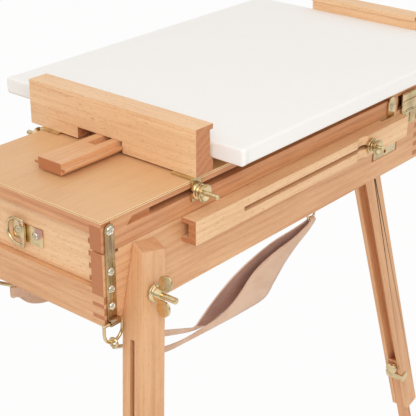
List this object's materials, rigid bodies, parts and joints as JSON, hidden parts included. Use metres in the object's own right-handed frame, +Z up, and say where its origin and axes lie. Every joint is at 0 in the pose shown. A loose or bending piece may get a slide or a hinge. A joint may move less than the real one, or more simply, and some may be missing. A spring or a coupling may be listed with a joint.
{
  "type": "sketch box easel",
  "caption": "Wooden drawer box on telescopic tripod legs; the lid carries a sliding mast and holders that clamp a blank canvas flat.",
  "frame": {"origin": "on the floor below the middle of the bounding box", "axes": "+X to the painter's right, +Y away from the painter, +Z up; the drawer opens towards -Y"},
  "size_m": [0.5428, 1.0222, 0.96],
  "materials": {
    "beech": "oiled beech",
    "beech_light": "oiled light beech",
    "beech_dark": "oiled darker beech",
    "birch_ply": "varnished birch plywood",
    "pine": "plain stretcher wood",
    "canvas": "primed white canvas",
    "leather": "natural leather, flesh side",
    "brass": "yellow passivated",
    "steel": "plated steel"
  },
  "bodies": {
    "box": {"side_panel_right": "beech", "side_panel_left": "beech", "front_rail": "beech_light", "back_panel": "beech", "bottom_panel": "birch_ply", "drawer_runners": "beech", "corner_plates": "brass", "box_screws": "steel", "side_fittings": "brass", "leg_studs": "steel", "rear_bracket": "brass", "strap_hardware": "brass", "strap_right": "leather", "strap_left": "leather"},
    "lid": {"lid_panel": "birch_ply", "lid_side_rail_right": "beech", "lid_side_rail_left": "beech", "lid_end_rails": "beech_dark", "lid_pivot_screws": "steel", "mast_guide": "beech", "latch_catches": "brass"},
    "latch_right": {"latch_lever_right": "brass"},
    "latch_left": {"latch_lever_left": "brass"},
    "mast": {"mast_bar": "beech", "upper_clamp": "beech"},
    "holder": {"lower_holder": "beech", "holder_brackets": "brass", "holder_bolts": "steel"},
    "holder_nut_right": {"holder_nut_right": "brass"},
    "holder_nut_left": {"holder_nut_left": "brass"},
    "canvas": {"canvas_stretcher": "pine", "canvas_cloth": "canvas"},
    "arm_right": {"stay_arm_right": "beech_light", "stay_strap_right": "brass"},
    "arm_left": {"stay_arm_left": "beech_light", "stay_strap_left": "brass"},
    "arm_bolt_right": {"stay_bolt_right": "steel"},
    "arm_bolt_left": {"stay_bolt_left": "steel"},
    "arm_nut_right": {"stay_nut_right": "brass"},
    "arm_nut_left": {"stay_nut_left": "brass"},
    "drawer": {"drawer_front": "beech_light", "drawer_walls": "beech_light", "drawer_bottom": "birch_ply", "drawer_dividers": "beech_light", "pull_plate": "brass"},
    "pull_ring": {"pull_ring": "brass"},
    "washer_right": {"leg_washer_right": "brass"},
    "washer_left": {"leg_washer_left": "brass"},
    "leg_right": {"leg_upper_right": "beech_light"},
    "leg_left": {"leg_upper_left": "beech_light"},
    "leg_rear": {"leg_upper_rear": "beech_light", "leg_clip": "brass"},
    "foot_right": {"leg_lower_right": "beech"},
    "foot_left": {"leg_lower_left": "beech"},
    "foot_rear": {"leg_lower_rear": "beech"},
    "knob_right": {"leg_knob_right": "brass"},
    "knob_left": {"leg_knob_left": "brass"},
    "knob_rear": {"leg_knob_rear": "brass"},
    "wing_nut_right": {"wing_nut_right": "brass"},
    "wing_nut_left": {"wing_nut_left": "brass"}
  },
  "joints": [
    {"name": "drawer_slide", "type": "slide", "parent": "box", "child": "drawer", "axis": [0, -1, 0], "range_m": [0, 0.36]},
    {"name": "pull_ring_swing", "type": "hinge", "parent": "drawer", "child": "pull_ring", "pos_m": [-0.005, -0.35704, 0.8605], "axis": [0, 0, 1], "range_deg": [0, 165]},
    {"name": "lid_hinge", "type": "hinge", "parent": "box", "child": "lid", "pos_m": [0, -0.34984, 0.8965], "axis": [1, 0, 0], "range_deg": [0, 35]},
    {"name": "holder_slide", "type": "slide", "parent": "lid", "child": "holder", "axis": [0, 1, 0], "range_m": [-0.055, 0]},
    {"name": "mast_slide", "type": "slide", "parent": "lid", "child": "mast", "axis": [0, 1, 0], "range_m": [0, 0.15]},
    {"name": "canvas_slide", "type": "slide", "parent": "lid", "child": "canvas", "axis": [1, 0, 0], "range_m": [-0.1, 0.1]},
    {"name": "holder_nut_right_turn", "type": "hinge", "parent": "holder", "child": "holder_nut_right", "pos_m": [0.116, -0.22954, 0.89625], "axis": [1, 0, 0], "continuous": true},
    {"name": "latch_right_swing", "type": "hinge", "parent": "box", "child": "latch_right", "pos_m": [0.1092, 0.16846, 0.869], "axis": [0, 1, 0], "range_deg": [0, 110]},
    {"name": "arm_right_hinge", "type": "hinge", "parent": "lid", "child": "arm_right", "pos_m": [0.1082, 0.12906, 0.8843], "axis": [1, 0, 0], "range_deg": [0, 57]},
    {"name": "arm_bolt_right_slide", "type": "slide", "parent": "arm_right", "child": "arm_bolt_right", "axis": [0, 1, 0], "range_m": [-0.225, 0.005]},
    {"name": "arm_nut_right_turn", "type": "hinge", "parent": "arm_bolt_right", "child": "arm_nut_right", "pos_m": [0.131, 0.05846, 0.8605], "axis": [1, 0, 0], "continuous": true},
    {"name": "leg_right_fold", "type": "hinge", "parent": "washer_right", "child": "leg_right", "pos_m": [0.107, -0.31354, 0.8245], "axis": [1, 0, 0], "range_deg": [0, 102]},
    {"name": "leg_right_shift", "type": "slide", "parent": "box", "child": "washer_right", "axis": [1, 0, 0], "range_m": [0, 0.0115]},
    {"name": "wing_nut_right_turn", "type": "hinge", "parent": "washer_right", "child": "wing_nut_right", "pos_m": [0.137, -0.31354, 0.8245], "axis": [1, 0, 0], "continuous": true},
    {"name": "foot_right_slide", "type": "slide", "parent": "leg_right", "child": "foot_right", "axis": [0.1736, -0.2215, -0.9596], "range_m": [-0.34, 0.01]},
    {"name": "knob_right_turn", "type": "hinge", "parent": "foot_right", "child": "knob_right", "pos_m": [0.20053, -0.43897, 0.35453], "axis": [0, -0.9744, 0.225], "continuous": true},
    {"name": "holder_nut_left_turn", "type": "hinge", "parent": "holder", "child": "holder_nut_left", "pos_m": [-0.116, -0.22954, 0.89625], "axis": [1, 0, 0], "continuous": true},
    {"name": "latch_left_swing", "type": "hinge", "parent": "box", "child": "latch_left", "pos_m": [-0.1092, 0.16846, 0.869], "axis": [0, -1, 0], "range_deg": [0, 110]},
    {"name": "arm_left_hinge", "type": "hinge", "parent": "lid", "child": "arm_left", "pos_m": [-0.1082, 0.12906, 0.8843], "axis": [1, 0, 0], "range_deg": [0, 57]},
    {"name": "arm_bolt_left_slide", "type": "slide", "parent": "arm_left", "child": "arm_bolt_left", "axis": [0, 1, 0], "range_m": [-0.225, 0.005]},
    {"name": "arm_nut_left_turn", "type": "hinge", "parent": "arm_bolt_left", "child": "arm_nut_left", "pos_m": [-0.131, 0.05846, 0.8605], "axis": [1, 0, 0], "continuous": true},
    {"name": "leg_left_fold", "type": "hinge", "parent": "washer_left", "child": "leg_left", "pos_m": [-0.107, -0.31354, 0.8245], "axis": [1, 0, 0], "range_deg": [0, 102]},
    {"name": "leg_left_shift", "type": "slide", "parent": "box", "child": "washer_left", "axis": [-1, 0, 0], "range_m": [0, 0.0115]},
    {"name": "wing_nut_left_turn", "type": "hinge", "parent": "washer_left", "child": "wing_nut_left", "pos_m": [-0.137, -0.31354, 0.8245], "axis": [1, 0, 0], "continuous": true},
    {"name": "foot_left_slide", "type": "slide", "parent": "leg_left", "child": "foot_left", "axis": [-0.1736, -0.2215, -0.9596], "range_m": [-0.34, 0.01]},
    {"name": "knob_left_turn", "type": "hinge", "parent": "foot_left", "child": "knob_left", "pos_m": [-0.20053, -0.43897, 0.35453], "axis": [0, -0.9744, 0.225], "continuous": true},
    {"name": "leg_rear_fold", "type": "hinge", "parent": "box", "child": "leg_rear", "pos_m": [0, 0.23346, 0.7838], "axis": [-1, 0, 0], "range_deg": [0, 109]},
    {"name": "foot_rear_slide", "type": "slide", "parent": "leg_rear", "child": "foot_rear", "axis": [0, 0.3322, -0.9432], "range_m": [-0.36, 0.005]},
    {"name": "knob_rear_turn", "type": "hinge", "parent": "foot_rear", "child": "knob_rear", "pos_m": [0, 0.36916, 0.35874], "axis": [0, -0.9432, -0.3322], "continuous": true}
  ],
  "couplings": [
    {"joint": "leg_right_shift", "follows": "leg_right_fold", "m_per_rad": 0.0062},
    {"joint": "leg_left_shift", "follows": "leg_left_fold", "m_per_rad": 0.0062}
  ]
}
